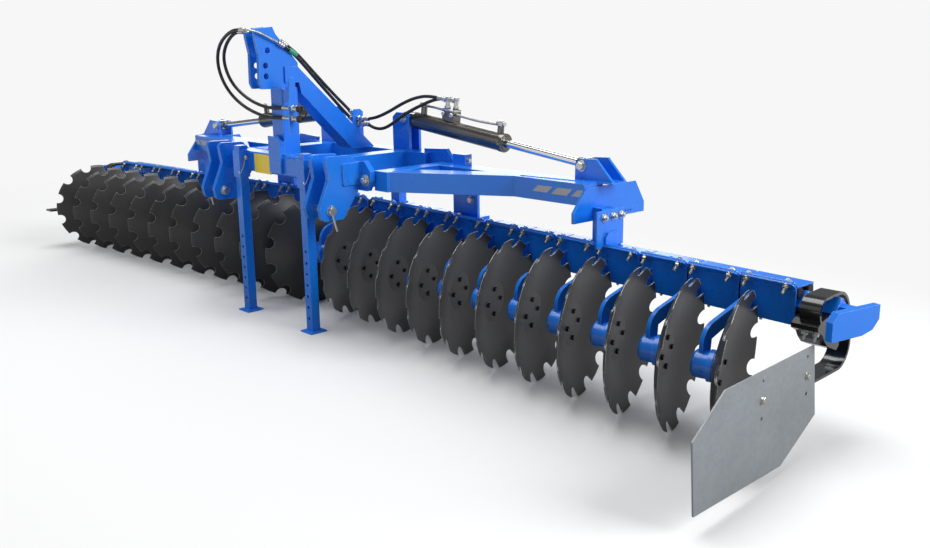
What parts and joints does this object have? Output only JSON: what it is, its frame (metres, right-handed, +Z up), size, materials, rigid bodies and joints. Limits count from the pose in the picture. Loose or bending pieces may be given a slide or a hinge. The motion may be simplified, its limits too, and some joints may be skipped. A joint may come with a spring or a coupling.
{
  "type": "folding disc harrow",
  "caption": "Wide folding disc harrow with one row of notched discs on rubber-sprung arms, carried on a three-point linkage, with fold cylinders, end springs and parking legs.",
  "frame": {"origin": "on the ground, under the middle of the machine in plan", "axes": "+X to the right across the machine, +Y from the linkage toward the disc beams, +Z up"},
  "size_m": [6.0888, 1.4074, 1.5765],
  "materials": {
    "blue_paint": "gloss",
    "disc_steel": "satin",
    "black_rubber": "matte",
    "black_steel": "gloss",
    "galvanised": "satin",
    "zinc_steel": "satin",
    "dark_steel": "gloss",
    "hose_rubber": "satin",
    "sign_yellow": "satin",
    "chrome_rod": "polished"
  },
  "bodies": {
    "centre_frame": {"centre_frame": "blue_paint", "link_plates": "blue_paint", "mast_plates": "blue_paint", "mast_post": "blue_paint", "sign_plate": "sign_yellow", "hose_fittings": "zinc_steel", "hose_loop_upper": "hose_rubber", "hose_loop_lower": "hose_rubber", "hose_brace_lower": "hose_rubber", "hose_brace_upper": "hose_rubber", "hose_valve_upper": "hose_rubber", "hose_valve_lower": "hose_rubber", "hinge_pins": "zinc_steel", "link_pins": "zinc_steel"},
    "wing_right": {"wing_frame_right": "blue_paint", "gang_beam_right": "blue_paint", "rubber_cords_right": "black_rubber", "clamps_right": "blue_paint", "disc_arms_right": "blue_paint", "end_spring_right": "black_steel", "end_deflector_right": "blue_paint", "side_plate_right": "galvanised"},
    "barrel_right": {"cylinder_barrel_right": "dark_steel", "cylinder_pipes_right": "zinc_steel"},
    "rod_right": {"cylinder_rod_right": "chrome_rod"},
    "leg_body_right": {"leg_right": "blue_paint"},
    "disc_body_right_01": {"disc_right_01": "disc_steel"},
    "disc_body_right_02": {"disc_right_02": "disc_steel"},
    "disc_body_right_03": {"disc_right_03": "disc_steel"},
    "disc_body_right_04": {"disc_right_04": "disc_steel"},
    "disc_body_right_05": {"disc_right_05": "disc_steel"},
    "disc_body_right_06": {"disc_right_06": "disc_steel"},
    "disc_body_right_07": {"disc_right_07": "disc_steel"},
    "disc_body_right_08": {"disc_right_08": "disc_steel"},
    "disc_body_right_09": {"disc_right_09": "disc_steel"},
    "disc_body_right_10": {"disc_right_10": "disc_steel"},
    "disc_body_right_11": {"disc_right_11": "disc_steel"},
    "wing_left": {"wing_frame_left": "blue_paint", "gang_beam_left": "blue_paint", "rubber_cords_left": "black_rubber", "clamps_left": "blue_paint", "disc_arms_left": "blue_paint", "end_spring_left": "black_steel", "end_deflector_left": "blue_paint"},
    "barrel_left": {"cylinder_barrel_left": "dark_steel", "cylinder_pipes_left": "zinc_steel"},
    "rod_left": {"cylinder_rod_left": "chrome_rod"},
    "leg_body_left": {"leg_left": "blue_paint"},
    "disc_body_left_01": {"disc_left_01": "disc_steel"},
    "disc_body_left_02": {"disc_left_02": "disc_steel"},
    "disc_body_left_03": {"disc_left_03": "disc_steel"},
    "disc_body_left_04": {"disc_left_04": "disc_steel"},
    "disc_body_left_05": {"disc_left_05": "disc_steel"},
    "disc_body_left_06": {"disc_left_06": "disc_steel"},
    "disc_body_left_07": {"disc_left_07": "disc_steel"},
    "disc_body_left_08": {"disc_left_08": "disc_steel"},
    "disc_body_left_09": {"disc_left_09": "disc_steel"},
    "disc_body_left_10": {"disc_left_10": "disc_steel"},
    "disc_body_left_11": {"disc_left_11": "disc_steel"}
  },
  "joints": [
    {"name": "fold_right", "type": "hinge", "parent": "centre_frame", "child": "wing_right", "pos_m": [0.612, 0.1863, 0.822], "axis": [0, -1, 0], "range_deg": [0, 80]},
    {"name": "cylinder_tilt_right", "type": "hinge", "parent": "centre_frame", "child": "barrel_right", "pos_m": [0.355, 0.4403, 1.086], "axis": [0, -1, 0], "range_deg": [0, 73.5], "deforming": ["hose_valve_upper", "hose_valve_lower"]},
    {"name": "cylinder_stroke_right", "type": "slide", "parent": "barrel_right", "child": "rod_right", "axis": [-0.9927, 0, 0.1204], "range_m": [0, 0.46]},
    {"name": "leg_slide_right", "type": "slide", "parent": "centre_frame", "child": "leg_body_right", "axis": [0, 0, 1], "range_m": [0, 0.2]},
    {"name": "disc_turn_right_01", "type": "hinge", "parent": "wing_right", "child": "disc_body_right_01", "pos_m": [0.11896, 0.14297, 0.30785], "axis": [0.9595, 0.277, -0.0506], "continuous": true},
    {"name": "disc_turn_right_02", "type": "hinge", "parent": "wing_right", "child": "disc_body_right_02", "pos_m": [0.36836, 0.12571, 0.30785], "axis": [0.9595, 0.277, -0.0506], "continuous": true},
    {"name": "disc_turn_right_03", "type": "hinge", "parent": "wing_right", "child": "disc_body_right_03", "pos_m": [0.61777, 0.10844, 0.30785], "axis": [0.9595, 0.277, -0.0506], "continuous": true},
    {"name": "disc_turn_right_04", "type": "hinge", "parent": "wing_right", "child": "disc_body_right_04", "pos_m": [0.86717, 0.09118, 0.30785], "axis": [0.9595, 0.277, -0.0506], "continuous": true},
    {"name": "disc_turn_right_05", "type": "hinge", "parent": "wing_right", "child": "disc_body_right_05", "pos_m": [1.11657, 0.07391, 0.30785], "axis": [0.9595, 0.277, -0.0506], "continuous": true},
    {"name": "disc_turn_right_06", "type": "hinge", "parent": "wing_right", "child": "disc_body_right_06", "pos_m": [1.36598, 0.05665, 0.30785], "axis": [0.9595, 0.277, -0.0506], "continuous": true},
    {"name": "disc_turn_right_07", "type": "hinge", "parent": "wing_right", "child": "disc_body_right_07", "pos_m": [1.61538, 0.03938, 0.30785], "axis": [0.9595, 0.277, -0.0506], "continuous": true},
    {"name": "disc_turn_right_08", "type": "hinge", "parent": "wing_right", "child": "disc_body_right_08", "pos_m": [1.86478, 0.02212, 0.30785], "axis": [0.9595, 0.277, -0.0506], "continuous": true},
    {"name": "disc_turn_right_09", "type": "hinge", "parent": "wing_right", "child": "disc_body_right_09", "pos_m": [2.11419, 0.00485, 0.30785], "axis": [0.9595, 0.277, -0.0506], "continuous": true},
    {"name": "disc_turn_right_10", "type": "hinge", "parent": "wing_right", "child": "disc_body_right_10", "pos_m": [2.36359, -0.01241, 0.30785], "axis": [0.9595, 0.277, -0.0506], "continuous": true},
    {"name": "disc_turn_right_11", "type": "hinge", "parent": "wing_right", "child": "disc_body_right_11", "pos_m": [2.61299, -0.02968, 0.30785], "axis": [0.9595, 0.277, -0.0506], "continuous": true},
    {"name": "fold_left", "type": "hinge", "parent": "centre_frame", "child": "wing_left", "pos_m": [-0.612, 0.1863, 0.822], "axis": [0, 1, 0], "range_deg": [0, 80]},
    {"name": "cylinder_tilt_left", "type": "hinge", "parent": "centre_frame", "child": "barrel_left", "pos_m": [-0.355, 0.4403, 1.086], "axis": [0, 1, 0], "range_deg": [0, 73.5]},
    {"name": "cylinder_stroke_left", "type": "slide", "parent": "barrel_left", "child": "rod_left", "axis": [0.9927, 0, 0.1204], "range_m": [0, 0.46]},
    {"name": "leg_slide_left", "type": "slide", "parent": "centre_frame", "child": "leg_body_left", "axis": [0, 0, 1], "range_m": [0, 0.2]},
    {"name": "disc_turn_left_01", "type": "hinge", "parent": "wing_left", "child": "disc_body_left_01", "pos_m": [-0.11896, 0.14297, 0.30785], "axis": [-0.9595, 0.277, -0.0506], "continuous": true},
    {"name": "disc_turn_left_02", "type": "hinge", "parent": "wing_left", "child": "disc_body_left_02", "pos_m": [-0.36836, 0.12571, 0.30785], "axis": [-0.9595, 0.277, -0.0506], "continuous": true},
    {"name": "disc_turn_left_03", "type": "hinge", "parent": "wing_left", "child": "disc_body_left_03", "pos_m": [-0.61777, 0.10844, 0.30785], "axis": [-0.9595, 0.277, -0.0506], "continuous": true},
    {"name": "disc_turn_left_04", "type": "hinge", "parent": "wing_left", "child": "disc_body_left_04", "pos_m": [-0.86717, 0.09118, 0.30785], "axis": [-0.9595, 0.277, -0.0506], "continuous": true},
    {"name": "disc_turn_left_05", "type": "hinge", "parent": "wing_left", "child": "disc_body_left_05", "pos_m": [-1.11657, 0.07391, 0.30785], "axis": [-0.9595, 0.277, -0.0506], "continuous": true},
    {"name": "disc_turn_left_06", "type": "hinge", "parent": "wing_left", "child": "disc_body_left_06", "pos_m": [-1.36598, 0.05665, 0.30785], "axis": [-0.9595, 0.277, -0.0506], "continuous": true},
    {"name": "disc_turn_left_07", "type": "hinge", "parent": "wing_left", "child": "disc_body_left_07", "pos_m": [-1.61538, 0.03938, 0.30785], "axis": [-0.9595, 0.277, -0.0506], "continuous": true},
    {"name": "disc_turn_left_08", "type": "hinge", "parent": "wing_left", "child": "disc_body_left_08", "pos_m": [-1.86478, 0.02212, 0.30785], "axis": [-0.9595, 0.277, -0.0506], "continuous": true},
    {"name": "disc_turn_left_09", "type": "hinge", "parent": "wing_left", "child": "disc_body_left_09", "pos_m": [-2.11419, 0.00485, 0.30785], "axis": [-0.9595, 0.277, -0.0506], "continuous": true},
    {"name": "disc_turn_left_10", "type": "hinge", "parent": "wing_left", "child": "disc_body_left_10", "pos_m": [-2.36359, -0.01241, 0.30785], "axis": [-0.9595, 0.277, -0.0506], "continuous": true},
    {"name": "disc_turn_left_11", "type": "hinge", "parent": "wing_left", "child": "disc_body_left_11", "pos_m": [-2.61299, -0.02968, 0.30785], "axis": [-0.9595, 0.277, -0.0506], "continuous": true}
  ],
  "couplings": [
    {"joint": "cylinder_tilt_right", "follows": "fold_right", "ratio": 0.9181},
    {"joint": "cylinder_stroke_right", "follows": "fold_right", "m_per_rad": 0.32908},
    {"joint": "cylinder_tilt_left", "follows": "fold_left", "ratio": 0.9181},
    {"joint": "cylinder_stroke_left", "follows": "fold_left", "m_per_rad": 0.32908}
  ]
}
